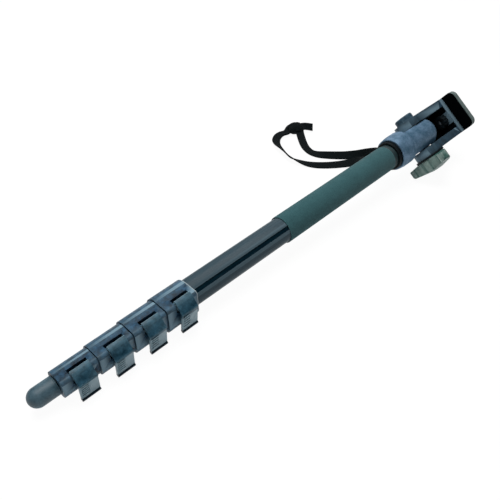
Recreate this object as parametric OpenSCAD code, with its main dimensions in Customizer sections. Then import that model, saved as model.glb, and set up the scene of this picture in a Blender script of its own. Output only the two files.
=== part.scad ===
// Camera monopod: five telescoping tubes with four lever locks, a rubber foot, a grip,
// a tilt head with a lobed knob and a wrist strap. It is folded and lies on the floor.
// Millimetres. World frame: +X runs from foot to head, +Z is up, the floor is at z = 0.
// Each piece is drawn about the tube axis (local Z, local +Y up, local -X to the front)
// and is then laid down by lay().

/* [Tubes] */
// Outer diameter of the largest tube
tube_d = 25; // [24:0.5:30]
// Step in diameter from one tube to the next
tube_step = 3; // [3:0.1:3.4]
// Wall of every tube
tube_wall = 1.2; // [1:0.05:1.25]
// Width of the groove along each tube
groove_w = 4; // [3:0.5:5]
// Depth of the groove along each tube
groove_d = 0.8; // [0.5:0.1:0.9]
// Gap between the topmost guide bush and the plug above it
top_gap = 5; // [3:1:40]
// Gap between one guide bush and the next smaller one below it
stack_gap = 2; // [1:0.5:10]
// Length of the guide bush above each sliding tube
guide_len = 12; // [8:1:16]

/* [Foot] */
// Wall of the rubber foot round the last tube
foot_wall = 1.5; // [1.2:0.1:4]
// Length of the rubber foot
foot_len = 22.5; // [18:0.5:40]
// Rubber below the end of the tube
foot_sole = 8; // [5:0.5:12]
// Depth of the plug in the last tube
plug_len = 14; // [8:1:30]

/* [Locks] */
// Height of a housing above its lever
lock_top = 5.6; // [5.2:0.1:12]
// Gap between neighbouring locks, and below the last one
lock_gap = 0.6; // [0.4:0.1:2]
// Wall of a housing round the back of its tube
lock_wall = 1.9; // [1.5:0.1:3]
// Rounding of the lower front corner of a housing
lock_round = 8; // [5:0.5:9]
// Width of a lever
lever_w = 16; // [14:0.5:24]
// Where a lever starts above the lower rim of its housing
lever_from = 9.2; // [7:0.1:12]
// Radius of the lever's rounded head
lever_head_r = 5.8; // [5.4:0.1:6]
// Thickness of the lever's panel and tab
lever_t = 2.2; // [1.8:0.1:2.6]
// How far the bend of the lever lies in front of its pin
bend_out = 10.2; // [9:0.1:12]
// How far the bend of the lever lies below its pin
bend_down = 3.7; // [3:0.1:5]
// Depth below the tube axis at which every tab ends
lip_drop = 15.6; // [13:0.1:18]
// Radius of the thick lip on a tab
lip_r = 1.7; // [1.3:0.1:2]
// Number of grip ribs on a tab
rib_count = 5; // [3:1:6]
// Radius of a hinge pin
pin_r = 1; // [0.8:0.1:1.3]
// Length of a hinge pin in each ear
pin_ear = 4; // [3:0.5:4.5]
// Radius of the clamping cam
cam_r = 3; // [2.7:0.1:3.3]
// Offset of the cam from its pin
cam_off = 0.4; // [0.3:0.05:0.5]
// Thickness of a brake shoe between tube and cam
shoe_t = 1.66; // [1.5:0.02:2]
// Length of a brake shoe
shoe_len = 12; // [9:0.5:13]

/* [Grip] */
// Length of the grip
grip_len = 163; // [100:1:200]
// Thickness of the grip
grip_t = 1.2; // [0.8:0.1:4]
// Length of the plain band above the grip
band_len = 8; // [6:0.5:12]
// Bare tube between the plain band and the neck
band_gap = 2; // [1:0.5:4]
// Thickness of the plain band
band_t = 0.7; // [0.5:0.1:1]

/* [Neck] */
// Where the rim of the neck stands, from the foot's tip
neck_from = 436; // [400:1:480]
// Wall of the neck round the tube
neck_wall = 5; // [4.6:0.1:7]
// How far the neck widens above its rim
neck_flare = 1; // [0.2:0.1:1.2]
// Height over which the neck widens
flare_h = 8; // [4:0.5:12]
// Height of the round part of the neck
neck_h = 26; // [24:0.5:27]
// Depth of the socket for the tube
neck_socket = 19; // [14:0.5:20]
// Rounding of the neck's shoulder
shoulder_r = 7; // [3:0.5:8]
// Height of the tilt axis above the neck's rim
tilt_h = 49; // [46:0.5:60]
// Thickness of the tongue between the yoke's arms
tongue_t = 27; // [22:0.5:28]
// How far the middle of the tongue's ball end lies above the tilt axis
tongue_rise = 9; // [2:0.5:10]
// Height of the strap collar
collar_h = 6; // [4:0.5:6]
// Wall of the strap collar
collar_wall = 2.4; // [1.6:0.1:2.8]
// How far the strap lug stands off the collar
lug_out = 7; // [6:0.5:9]
// Direction of the strap lug round the tube, below the back
lug_angle = 35; // [20:1:50]
// Width of the strap slot in the lug
lug_slot = 11; // [10.5:0.5:14]

/* [Head] */
// Angle of the tilt axis below the horizontal, on the knob's side
head_roll = 35; // [30:1:50]
// How far the yoke stands off the tube's axis, towards the knob
head_shift = 2; // [0:0.5:2.5]
// Thickness of a yoke arm
arm_t = 8.6; // [6:0.2:10]
// Radius of the lower end of an arm
arm_r = 15; // [12:0.5:16]
// Height from the tilt axis to the underside of the platform
arm_h = 52.5; // [50:0.5:60]
// Depth of the platform, front to back
platform_d = 20; // [16:0.5:24]
// Thickness of the platform
platform_t = 8.5; // [6:0.5:12]
// Rounding inside the yoke under the platform
yoke_round = 8; // [4:0.5:10]
// Thickness of the web that closes the back of the yoke
web_t = 2.5; // [1.5:0.1:4]
// Width of the camera plate
plate_w = 46; // [40:0.5:60]
// Depth of the camera plate
plate_d = 51; // [40:0.5:60]
// Thickness of the camera plate
plate_t = 2.4; // [2:0.1:5]
// Corner radius of the camera plate
plate_r = 7; // [3:0.5:9]
// Thickness of the rubber pad
pad_t = 4.4; // [2:0.1:6]
// How far the pad stays back from the edge of the plate
pad_inset = 0.3; // [0.2:0.1:1]
// Radius of the camera screw's thread, a quarter inch across
screw_r = 3.175; // [3:0.005:3.4]
// Thread that stands above the pad
screw_out = 5.5; // [4:0.5:7]
// Radius of the screw's shank below its thread
shank_r = 2.5; // [2:0.1:2.8]
// Radius of the screw's thumb wheel
wheel_r = 8; // [7.5:0.5:9]
// Height of the thumb wheel
wheel_h = 7; // [5:0.5:9]

/* [Tilt clamp] */
// Radius of the tilt bolt
bolt_r = 4; // [3:0.5:4]
// Flats of the bolt's hexagon head
bolt_af = 13; // [11:0.5:14]
// Height of the bolt's head
bolt_head_h = 5; // [4:0.5:6]
// Radius of the cap over the bolt's head
cap_r = 10.5; // [10:0.5:13]
// Height of the cap above the arm
cap_h = 6.4; // [6:0.2:8]
// Thickness of a friction washer
washer_t = 0.6; // [0.4:0.1:1]
// Width of a friction washer's ring
washer_w = 2.4; // [1.6:0.1:2.6]
// Thickness of the thrust washer under the knob
thrust_t = 2.2; // [1:0.1:3]
// Radius of the thrust washer
thrust_r = 17; // [14:0.5:18]
// Radius of the knob over its lobes
knob_r = 28; // [27:0.5:30]
// Radius of the knob between its lobes
hub_r = 16; // [14:2:16]
// Radius of a lobe of the knob
lobe_r = 6; // [5.5:0.5:7]
// Angle of the first lobe of the knob from the tube's direction
knob_turn = 110; // [95:1:125]
// Height of the knob
knob_h = 15; // [14.5:0.5:18]
// Height of the knob's sloping underside
knob_under_h = 1.5; // [1:0.5:5]
// Height of the knob's rim
knob_rim_h = 8; // [6:0.5:9]
// Rounding of the knob's rim
knob_round = 3; // [2:0.5:4]
// Flats of the nut in the knob
nut_af = 13; // [11:0.5:14]
// Height of the nut in the knob
nut_h = 6.5; // [5:0.5:8]

/* [Strap] */
// Width of the webbing
strap_w = 10; // [8:0.5:10]
// Thickness of the webbing
strap_t = 1.6; // [1:0.1:2]

/* [Clearances] */
// Gap between glued or pressed faces
glue_gap = 0.05; // [0.02:0.01:0.1]
// Gap between a housing and the tube that slides in it
slide_gap = 0.3; // [0.25:0.05:0.4]
// Radial gap of a hinge pin or bolt
run_gap = 0.06; // [0.03:0.01:0.1]
// Gap round the moving pieces of a lock
lever_gap = 0.4; // [0.3:0.05:0.5]
// Gap between shoe and tube, and between shoe and cam
shoe_gap = 0.1; // [0.08:0.01:0.14]

/* [Hidden] */
$fn = 64;

plastic = [0.20, 0.25, 0.29];
tab_grey = [0.42, 0.48, 0.52];
anodised = [0.10, 0.14, 0.17];
rubber = [0.11, 0.14, 0.16];
steel = [0.62, 0.64, 0.66];
brass = [0.72, 0.60, 0.33];
nylon = [0.80, 0.80, 0.76];
grip_grey = [0.26, 0.30, 0.31];
cast_blue = [0.47, 0.55, 0.62];
navy = [0.12, 0.16, 0.20];
knob_grey = [0.50, 0.57, 0.55];
webbing = [0.10, 0.11, 0.12];

// Tubes are counted 1 to 5 from the largest, locks 1 to 4 from the top.
function tube_r(i) = tube_d / 2 - (i - 1) * tube_step / 2;
function bore_r(i) = tube_r(i) - tube_wall;
tube_gap = tube_step / 2 - tube_wall;
tube1_to = neck_from + neck_socket;

// A rib in each bore runs in the groove of the next smaller tube, under the brake shoe.
rib_play = 0.3;
rib_side = 0.4;
rib_w = groove_w - 2 * rib_side;
rib_h = tube_gap + groove_d - rib_play;
groove_angle = 135;
rib_sink = 0.2;

// Guide bushes: each has a plug in its own tube and runs in the next larger one.
guide_plug = 8;
guide_wall = 1.2;
top_step = guide_len + guide_plug + stack_gap;
function tube_top(i) = tube1_to - guide_plug - top_gap - guide_len - (i - 2) * top_step;

// Locks stand in a row above the foot.
foot_r = tube_r(5) + glue_gap + foot_wall;
lever_side = 0.4;
socket_gap = 0.2;
socket_len = lock_top - lever_side - socket_gap;
lock_len = lever_from + lever_w + lock_top;
lock_pitch = lock_len + lock_gap;
lock4_from = foot_len + lock_gap;
function lock_from(i) = lock4_from + (4 - i) * lock_pitch;
function lock_to(i) = lock_from(i) + lock_len;
function tube_from(i) = i == 5 ? foot_sole : lock_to(i) - socket_len;
function tube_to(i) = i == 1 ? tube1_to : tube_top(i);

// Lock section: the pin stands on the diagonal between the front and the top face.
cam_angle = 45;
cam_reach = cam_r + cam_off;
function pin_dist(i) = tube_r(i + 1) + shoe_gap + shoe_t + shoe_gap + cam_reach;
function pin_at(i) = pin_dist(i) * cos(cam_angle);
corner_r = 3.2;
function face_at(i) = pin_at(i) + corner_r;
function back_r(i) = tube_r(i) + lock_wall;
pocket_r = lever_head_r + lever_gap;
lever_mid = lever_from + lever_w / 2;

// Brake shoe: a curved pad with a stem that the cam presses
shoe_half = 3;
shoe_flange = 0.9;
stem_half = 1.9;
shoe_play = 0.65;

// Lever: a head with a thin skin over the pocket, a sloping panel and a hanging tab
skin_t = 1.2;
skin_end = 94;
head_end = 76;
head_back = 50;
tab_step = 0.7;
tab_lean = 6;
tab_root = 1;
lip_out = 0.4;
rib_out = 0.35;
rib_len = 6.5;
rib_t = 0.8;
rib_from = 2.6;
rib_to = 3.4;
tab_edge = 1.2;
panel_angle = atan2(-bend_down, bend_out) + acos(lever_head_r / norm([bend_out, bend_down]));
function tab_h(i) = pin_at(i) - bend_down + lip_drop - lip_r;

// Grip
band_from = neck_from - band_gap - band_len;
grip_from = band_from - grip_len;

// Neck and strap collar
rim_r = tube_r(1) + neck_wall;
neck_r = rim_r + neck_flare;
tilt_z = neck_from + tilt_h;
tongue_in = 0.6;
grub_r = 2;
grub_af = 2;
grub_depth = 2;
grub_fit = 0.02;
grub_rise = 2;
grub_recess = 0.6;
grub_angles = [-20, 30];
plug_wall = 3;
collar_r = tube_r(1) + band_t + glue_gap + collar_wall;
collar_sink = 1.4;
collar_play = 0.3;
lug_slot_t = 3.4;
lug_rim = 1.6;
lug_side = 2.5;
lug_step = collar_sink + collar_play;

// Yoke, plate and camera screw
tongue_r = rim_r - tongue_in;
washer_r = bolt_r + run_gap + washer_w;
arm_play = 0.05;
arm_gap = washer_t + 2 * arm_play;
arm_in = tongue_t / 2 + arm_gap;
arm_out = arm_in + arm_t;
arm_flare = 1.5;
yoke_top = arm_h + platform_t;
pad_top = yoke_top + plate_t + pad_t;
hole_gap = 0.3;
wheel_gap = 0.3;
wheel_in = max(wheel_r + wheel_gap - arm_in + yoke_round, 0);
wheel_top = arm_h - wheel_gap - yoke_round + sqrt(pow(yoke_round, 2) - pow(wheel_in, 2));
wheel_low = wheel_top - wheel_h;
web_gap = 1;
web_in = wheel_r + web_gap;
tongue_play = 0.6;
web_from = tongue_rise + tongue_r + tongue_play;
boss_r = 7;
wheel_notches = 12;
notch_r = 1.1;
notch_out = 0.3;
ring_t = 0.8;
ring_r = 5;
ring_play = 0.1;
ring_bite = 0.6;
ring_slit = 3;

// Tilt clamp
seat_gap = 0.1;
head_sink = 2;
hex_gap = 0.1;
cap_edge = 2;
cap_room = 0.4;
thrust_at = arm_out + seat_gap;
knob_play = 0.2;
knob_at = thrust_at + thrust_t + knob_play;
nut_sink = 2;
bolt_end = knob_at + nut_sink + nut_h;
dome_r = knob_r - knob_round;
dome_from = knob_rim_h + knob_round;
lobe_cut = 0.5;
lobe_at = knob_r - lobe_r + lobe_cut;
lobe_count = 3;
lobe_step = 360 / lobe_count;
flank_angle = 45;
crown_r = 6;
crown_edge = 3;
crown_drop = 0.6;

// Lying on the floor: the knob's rim and the end of the lowest tab touch it.
function rim_h(r) = knob_rim_h + sqrt(max(pow(knob_round, 2) - pow(max(r - dome_r, 0), 2), 0));
function lobe_edge(turn, a) = let (
    side = lobe_at * sin(turn) + lobe_r * sin(a),
    r = norm([lobe_at * cos(turn) + lobe_r * cos(a), side])
) [head_shift + knob_at + rim_h(r), side];
low_lobe = knob_turn - lobe_step / 2;
low_z = tilt_z - lobe_at * cos(low_lobe);
knob_drop = max([
    for (a = [60 : 2 : 120]) lobe_edge(low_lobe, a) * [sin(head_roll), cos(head_roll)]
]);
lip_z = lock_from(4) + lever_from;
lay_angle = atan((knob_drop - lip_drop) / (low_z - lip_z));
axis_h = lip_drop * cos(lay_angle) - lip_z * sin(lay_angle);
screw_side = screw_r + head_shift * sin(head_roll);
length_x = (tilt_z + pad_top + screw_out) * cos(lay_angle) + screw_side * sin(lay_angle);
plate_side = [plate_w / 2 - plate_r, plate_d / 2 - plate_r];
plate_reach = (plate_side[0] - head_shift) * cos(head_roll) + plate_side[1] * sin(head_roll) + plate_r;
knob_reach = max([
    for (a = [60 : 2 : 120]) lobe_edge(knob_turn, a) * [cos(head_roll), sin(head_roll)]
]);
mid_x = length_x / 2;
mid_y = (plate_reach - knob_reach) / 2;

// Wrist strap, world frame: points [x, y, z, roll] from the lug round the knot and back to the lug
band_steps = 2;
leg_front = [
    [155.2, 24.3, 27.4, -55], [160.7, 24.6, 27.5, -55], [168.3, 28, 26.8, -65], [175.8, 34.8, 22, -78],
    [180.6, 42.9, 16.6, -75], [179.7, 51.8, 11.8, -55], [172.8, 60.4, 8, -35], [164.8, 70.4, 5.2, -18],
    [157.6, 79.5, 3.6, -8], [150.3, 88.5, 2.2, 0], [145.3, 96.5, 1.4, 0], [143.7, 105.5, 1.2, 0],
    [146.3, 115.7, 1.4, 0], [151.9, 125.9, 2.4, 0], [161.1, 139.2, 5.5, 0]
];
knot_route = [
    [161.1, 139.2, 5.5, 0], [168.3, 147.3, 6.5, 0], [170.9, 154.4, 6.5, 0], [162.7, 156.4, 6.2, 0],
    [151.9, 152.7, 5, 0]
];
tail_route = [[170.9, 146.3, 6.8, 0], [178, 142.9, 6.8, 0], [186.2, 137.4, 5.5, 0]];
leg_back = [
    [151.9, 152.7, 5, 0], [144.2, 155.1, 4, 0], [136.1, 153.5, 4, 5], [127.9, 148.4, 4, 12],
    [121.7, 140.3, 4.6, 25], [117.2, 128.5, 5.2, 42], [113.5, 117.4, 5.6, 50], [112.5, 108.4, 5.2, 45],
    [118.2, 94.2, 2.8, 15], [124.8, 85.2, 1.6, 5], [133, 76.7, 1.3, 0], [141.1, 70.2, 1.7, 0],
    [149.4, 63.2, 3, -10], [155, 56.2, 6, -30], [156.1, 47.6, 11.7, -55], [151.4, 37.6, 19.3, -75],
    [147.1, 30.2, 25, -75], [148.7, 24.8, 26.7, -58], [154.2, 24.3, 27.3, -55]
];
knot_end_r = 5.2;
knot_mid_r = 8.5;
knot_flat = 0.72;
knot_sides = 10;

// How far a cut runs past the face that it opens
cut_past = 1;

module lay() {
    translate([-mid_x, -mid_y, axis_h])
        rotate([0, -lay_angle, 0])
            rotate([90, 0, 90])
                children();
}

// Head pieces are drawn about the tilt axis: +X to the bolt cap, -X to the knob, +Z to the plate.
module head() {
    lay()
        translate([0, 0, tilt_z])
            rotate([0, 0, head_roll])
                translate([-head_shift, 0, 0])
                    children();
}

// Turns a piece drawn up Z so that it points along -X, out to the knob.
module to_knob() {
    rotate([0, -90, 0])
        children();
}

module ring(r_out, r_in, h) {
    difference() {
        cylinder(r = r_out, h = h);
        translate([0, 0, -cut_past])
            cylinder(r = r_in, h = h + 2 * cut_past);
    }
}

module rounded_plate(w, d, t, r) {
    linear_extrude(height = t) {
        square([w - 2 * r, d], center = true);
        square([w, d - 2 * r], center = true);
        for (sx = [-1, 1], sy = [-1, 1])
            translate([sx * (w / 2 - r), sy * (d / 2 - r)])
                circle(r = r);
    }
}

// A disc whose upper edge is rounded
module rounded_disc(r, h, edge) {
    cylinder(r = r, h = h - edge);
    cylinder(r = r - edge, h = h);
    translate([0, 0, h - edge])
        rotate_extrude()
            intersection() {
                translate([r - edge, 0])
                    circle(r = edge);
                translate([r - edge, 0])
                    square(edge + cut_past);
            }
}

module hexagon(af, h) {
    cylinder(r = af / sqrt(3), h = h, $fn = 6);
}

// A bar along the groove's direction, for a groove or a rib at radius r
module groove_bar(r, w, d, z0, z1) {
    rotate([0, 0, groove_angle])
        translate([r, -w / 2, z0])
            cube([d, w, z1 - z0]);
}

module tube_body(i) {
    z0 = tube_from(i);
    z1 = tube_to(i);
    color(anodised)
        lay() {
            difference() {
                translate([0, 0, z0])
                    ring(tube_r(i), bore_r(i), z1 - z0);
                groove_bar(tube_r(i) - groove_d, groove_w, groove_d + cut_past,
                    z0 - cut_past, z1 + cut_past);
            }
            if (i < 5)
                intersection() {
                    groove_bar(bore_r(i) - rib_h, rib_w, rib_h + rib_sink, z0, z1 - guide_plug - cut_past);
                    translate([0, 0, z0])
                        cylinder(r = bore_r(i) + rib_sink, h = z1 - z0);
                }
        }
}

// The bush on the top end of a sliding tube, which runs in the bore of the next larger one
module guide(i) {
    z0 = tube_top(i);
    color(nylon)
        lay()
            difference() {
                union() {
                    translate([0, 0, z0])
                        cylinder(r = bore_r(i - 1) - run_gap, h = guide_len);
                    translate([0, 0, z0 - guide_plug])
                        cylinder(r = bore_r(i) - glue_gap, h = guide_plug + cut_past);
                }
                translate([0, 0, z0 - guide_plug - cut_past])
                    cylinder(r = bore_r(i) - guide_wall, h = guide_plug + guide_len + 2 * cut_past);
                groove_bar(bore_r(i - 1) - rib_h - rib_play, groove_w, rib_h + rib_play + cut_past,
                    z0, z0 + guide_len + cut_past);
            }
}

// Lock pieces are drawn with the front along +X and turned round by lock_place().
module lock_place(i) {
    lay()
        translate([0, 0, lock_from(i)])
            mirror([1, 0, 0])
                children();
}

module housing_section(i) {
    f = face_at(i);
    b = back_r(i);
    circle(r = b);
    translate([0, f - b])
        circle(r = b);
    translate([-b, 0])
        square([b, f - b]);
    square([f - corner_r, f]);
    translate([0, lock_round - b])
        square([f, f - corner_r + b - lock_round]);
    translate([f - corner_r, f - corner_r])
        circle(r = corner_r);
    translate([f - lock_round, lock_round - b])
        circle(r = lock_round);
    translate([0, -b])
        square([f - lock_round, b]);
}

module housing(i) {
    p = pin_at(i);
    color(plastic)
        lock_place(i)
            difference() {
                linear_extrude(height = lock_len)
                    housing_section(i);
                translate([0, 0, -cut_past])
                    cylinder(r = tube_r(i + 1) + slide_gap, h = lock_len);
                translate([0, 0, lock_len - socket_len])
                    cylinder(r = tube_r(i) + glue_gap, h = socket_len + cut_past);
                translate([p, p, lever_from - lever_side])
                    cylinder(r = pocket_r, h = lever_w + 2 * lever_side);
                translate([p, p, lever_from - pin_ear])
                    cylinder(r = pin_r, h = lever_w + 2 * pin_ear);
                translate([0, 0, lever_mid])
                    shoe_room(i);
            }
}

// The recess in a housing in which the brake shoe slides
module shoe_room(i) {
    inner = tube_r(i + 1);
    half = shoe_half + lever_gap;
    rotate([0, 0, cam_angle])
        intersection() {
            translate([0, 0, -shoe_len / 2 - lever_gap])
                cylinder(r = inner + shoe_gap + shoe_flange + shoe_play, h = shoe_len + 2 * lever_gap);
            translate([0, -half, -shoe_len])
                cube([2 * inner, 2 * half, 2 * shoe_len]);
        }
}

module brake_shoe(i) {
    inner = tube_r(i + 1) + shoe_gap;
    color(rubber)
        lock_place(i)
            translate([0, 0, lever_mid - shoe_len / 2])
                rotate([0, 0, cam_angle])
                    difference() {
                        union() {
                            intersection() {
                                cylinder(r = inner + shoe_flange, h = shoe_len);
                                translate([0, -shoe_half, 0])
                                    cube([2 * inner, 2 * shoe_half, shoe_len]);
                            }
                            translate([inner - cut_past, -stem_half, 0])
                                cube([shoe_t + cut_past, 2 * stem_half, shoe_len]);
                        }
                        translate([0, 0, -cut_past])
                            cylinder(r = inner, h = shoe_len + 2 * cut_past);
                    }
}

module hinge_pin(i) {
    color(steel)
        lock_place(i)
            translate([pin_at(i), pin_at(i), lever_from - pin_ear])
                cylinder(r = pin_r, h = lever_w + 2 * pin_ear);
}

// A sector that reaches past a lever's head
module wedge(a0, a1) {
    mid = (a0 + a1) / 2;
    r = 2 * lever_head_r;
    polygon([
        [0, 0],
        r * [cos(a0), sin(a0)],
        2 * r * [cos(mid), sin(mid)],
        r * [cos(a1), sin(a1)]
    ]);
}

// Side view of a lever about its pin, with the front along +X
module lever_section(i) {
    bend = [bend_out, -bend_down];
    slope = [cos(panel_angle), sin(panel_angle)];
    inner_bend = bend - lever_t * [slope[0], slope[1] / 2];
    tab_top = bend + [-tab_step, tab_root];
    tab_end = bend - [tab_step + tab_h(i) * tan(tab_lean), tab_h(i)];
    translate(-cam_off * [cos(cam_angle), sin(cam_angle)])
        circle(r = cam_r);
    intersection() {
        circle(r = lever_head_r);
        union() {
            wedge(panel_angle - head_back, head_end);
            difference() {
                wedge(panel_angle, skin_end);
                circle(r = lever_head_r - skin_t);
            }
        }
    }
    polygon([lever_head_r * slope, bend, inner_bend, (lever_head_r - lever_t) * slope]);
    polygon([tab_top, tab_end, tab_end - [lever_t, 0], tab_top - [lever_t, 0]]);
    translate(tab_end - [lever_t / 2 - lip_out, 0])
        circle(r = lip_r);
}

module lever(i) {
    p = pin_at(i);
    rib_pitch = (tab_h(i) - rib_from - rib_to) / rib_count;
    color(tab_grey)
        lock_place(i)
            translate([p, p, lever_from])
                difference() {
                    union() {
                        linear_extrude(height = lever_w)
                            lever_section(i);
                        translate([bend_out - tab_step, -bend_down, 0])
                            rotate([0, 0, -tab_lean])
                                for (k = [0 : rib_count - 1])
                                    translate([-rib_out, -rib_from - k * rib_pitch - rib_t, tab_edge])
                                        cube([2 * rib_out, rib_t, rib_len]);
                    }
                    translate([0, 0, -cut_past])
                        cylinder(r = pin_r + run_gap, h = lever_w + 2 * cut_past);
                }
}

module rubber_foot() {
    color(rubber)
        lay()
            difference() {
                union() {
                    translate([0, 0, foot_r])
                        sphere(r = foot_r);
                    translate([0, 0, foot_r])
                        cylinder(r = foot_r, h = foot_len - foot_r);
                }
                translate([0, 0, foot_sole])
                    cylinder(r = tube_r(5) + glue_gap, h = foot_len);
            }
}

module foot_plug() {
    color(nylon)
        lay()
            translate([0, 0, foot_sole])
                ring(bore_r(5) - glue_gap, pin_r, plug_len);
}

module grip_sleeve() {
    color(grip_grey)
        lay()
            translate([0, 0, grip_from])
                ring(tube_r(1) + grip_t, tube_r(1) + glue_gap, grip_len);
}

module plain_band() {
    color(knob_grey)
        lay()
            translate([0, 0, band_from])
                ring(tube_r(1) + band_t, tube_r(1) + glue_gap, band_len);
}

// Ring under the neck, with the lug that holds the wrist strap
module strap_collar() {
    lug_w = lug_slot + 2 * lug_side;
    slot_at = collar_r + lug_out - lug_rim - lug_slot_t;
    color(navy)
        lay()
            translate([0, 0, neck_from + collar_sink - collar_h])
                difference() {
                    union() {
                        cylinder(r = collar_r, h = collar_h);
                        rotate([0, 0, -lug_angle])
                            translate([tube_r(1) + band_t, -lug_w / 2, 0])
                                cube([collar_r - tube_r(1) - band_t + lug_out, lug_w, collar_h - lug_step]);
                    }
                    translate([0, 0, -cut_past])
                        cylinder(r = tube_r(1) + band_t + glue_gap, h = collar_h + 2 * cut_past);
                    rotate([0, 0, -lug_angle])
                        translate([slot_at, -lug_slot / 2, -cut_past])
                            cube([lug_slot_t, lug_slot, collar_h + 2 * cut_past]);
                }
}

module tube_top_plug() {
    color(nylon)
        lay()
            translate([0, 0, tube1_to - guide_plug])
                ring(bore_r(1) - glue_gap, bore_r(1) - plug_wall, guide_plug);
}

// Cast neck: a round socket for the tube that runs up into the tongue between the arms
module neck() {
    color(cast_blue)
        lay()
            difference() {
                union() {
                    translate([0, 0, neck_from])
                        cylinder(r1 = rim_r, r2 = neck_r, h = flare_h);
                    translate([0, 0, neck_from + flare_h])
                        rounded_disc(neck_r, neck_h - flare_h, shoulder_r);
                    translate([0, 0, tilt_z])
                        rotate([0, 0, head_roll])
                            tongue();
                }
                translate([0, 0, neck_from - cut_past])
                    cylinder(r = tube_r(1) + glue_gap, h = neck_socket + cut_past);
                translate([0, 0, neck_from - cut_past])
                    cylinder(r = collar_r + collar_play, h = collar_sink + cut_past);
                translate([0, 0, tilt_z])
                    rotate([0, 0, head_roll])
                        translate([-neck_r, 0, 0])
                            rotate([0, 90, 0])
                                cylinder(r = bolt_r + run_gap, h = 2 * neck_r);
                neck_screw_places()
                    cylinder(r = grub_r, h = 2 * neck_r);
            }
}

// The neck's round form carried on to a ball end, with two flat cheeks for the arms
module tongue() {
    root = neck_h - shoulder_r - tilt_h;
    intersection() {
        rotate_extrude() {
            translate([0, root])
                square([tongue_r, tongue_rise - root]);
            translate([0, tongue_rise])
                intersection() {
                    circle(r = tongue_r);
                    square(tongue_r);
                }
        }
        translate([-tongue_t / 2 - head_shift, -neck_r, root - cut_past])
            cube([tongue_t, 2 * neck_r, 2 * neck_r - root]);
    }
}

// Two grub screws at the back clamp the neck on the tube.
module neck_screw_places() {
    for (a = grub_angles)
        translate([0, 0, neck_from + neck_socket / 2 + grub_rise])
            rotate([0, 0, a])
                rotate([0, 90, 0])
                    children();
}

module neck_set_screws() {
    color(steel)
        lay()
            neck_screw_places()
                difference() {
                    translate([0, 0, tube_r(1) + glue_gap])
                        cylinder(r = grub_r - grub_fit, h = neck_wall + neck_flare - grub_recess);
                    translate([0, 0, neck_r - grub_depth])
                        hexagon(grub_af, 2 * grub_depth);
                }
}

// Side view of an arm, drawn with the depth along X and the height along Y
module arm_section() {
    circle(r = arm_r);
    polygon([
        [-arm_r, 0],
        [arm_r, 0],
        [platform_d / 2 + arm_flare, arm_h],
        [platform_d / 2, yoke_top],
        [-platform_d / 2, yoke_top],
        [-platform_d / 2 - arm_flare, arm_h]
    ]);
}

module yoke() {
    color(navy)
        head()
            difference() {
                union() {
                    difference() {
                        translate([-arm_out, 0, 0])
                            rotate([90, 0, 90])
                                linear_extrude(height = 2 * arm_out)
                                    arm_section();
                        yoke_hollow();
                    }
                    translate([-arm_in - cut_past, -web_in - web_t, web_from])
                        cube([2 * (arm_in + cut_past), web_t, arm_h + cut_past - web_from]);
                    translate([0, 0, wheel_top + wheel_gap])
                        cylinder(r = boss_r, h = yoke_top - wheel_top - 2 * wheel_gap);
                }
                translate([-arm_out - cut_past, 0, 0])
                    rotate([0, 90, 0])
                        cylinder(r = bolt_r + run_gap, h = 2 * arm_out + 2 * cut_past);
                translate([arm_out - head_sink, 0, 0])
                    rotate([0, 90, 0])
                        hexagon(bolt_af + hex_gap, head_sink + cut_past);
                cylinder(r = shank_r + hole_gap, h = yoke_top + cut_past);
                translate([0, 0, yoke_top - ring_t - 2 * ring_play])
                    cylinder(r = ring_r + hole_gap, h = ring_t + 2 * ring_play + cut_past);
            }
}

// The space between the arms, with rounded corners under the platform
module yoke_hollow() {
    low = arm_r + cut_past;
    translate([0, low, 0])
        rotate([90, 0, 0])
            linear_extrude(height = 2 * low) {
                translate([-arm_in, -low])
                    square([2 * arm_in, low + arm_h - yoke_round]);
                translate([-arm_in + yoke_round, 0])
                    square([2 * (arm_in - yoke_round), arm_h]);
                for (s = [-1, 1])
                    translate([s * (arm_in - yoke_round), arm_h - yoke_round])
                        circle(r = yoke_round);
            }
}

module friction_washers() {
    color(nylon)
        head()
            for (s = [-1, 1])
                translate([s * (tongue_t / 2 + arm_gap / 2) - washer_t / 2, 0, 0])
                    rotate([0, 90, 0])
                        ring(washer_r, bolt_r + run_gap, washer_t);
}

module tilt_bolt() {
    color(steel)
        head() {
            translate([arm_out - head_sink + seat_gap, 0, 0])
                rotate([0, 90, 0])
                    hexagon(bolt_af, bolt_head_h);
            translate([-bolt_end, 0, 0])
                rotate([0, 90, 0])
                    cylinder(r = bolt_r, h = bolt_end + arm_out);
        }
}

module bolt_cap() {
    room_r = bolt_af / sqrt(3) + cap_room;
    room_h = bolt_head_h - head_sink + seat_gap + cap_room;
    color(plastic)
        head()
            translate([arm_out, 0, 0])
                rotate([0, 90, 0])
                    difference() {
                        rounded_disc(cap_r, cap_h, cap_edge);
                        translate([0, 0, -cut_past])
                            cylinder(r = room_r, h = room_h + cut_past);
                    }
}

module thrust_washer() {
    color(rubber)
        head()
            translate([-thrust_at, 0, 0])
                to_knob()
                    ring(thrust_r, bolt_r + run_gap, thrust_t);
}

// Outline of the knob: a hub with lobes, each joined to it by straight flanks
module knob_outline() {
    flank = hub_r * [cos(flank_angle), sin(flank_angle)];
    circle(r = hub_r);
    for (k = [0 : lobe_count - 1])
        rotate([0, 0, lobe_step * k + knob_turn]) {
            translate([lobe_at, 0])
                circle(r = lobe_r);
            polygon([[0, 0], [flank[0], -flank[1]], [lobe_at, -lobe_r], [lobe_at, lobe_r], flank]);
        }
}

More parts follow.
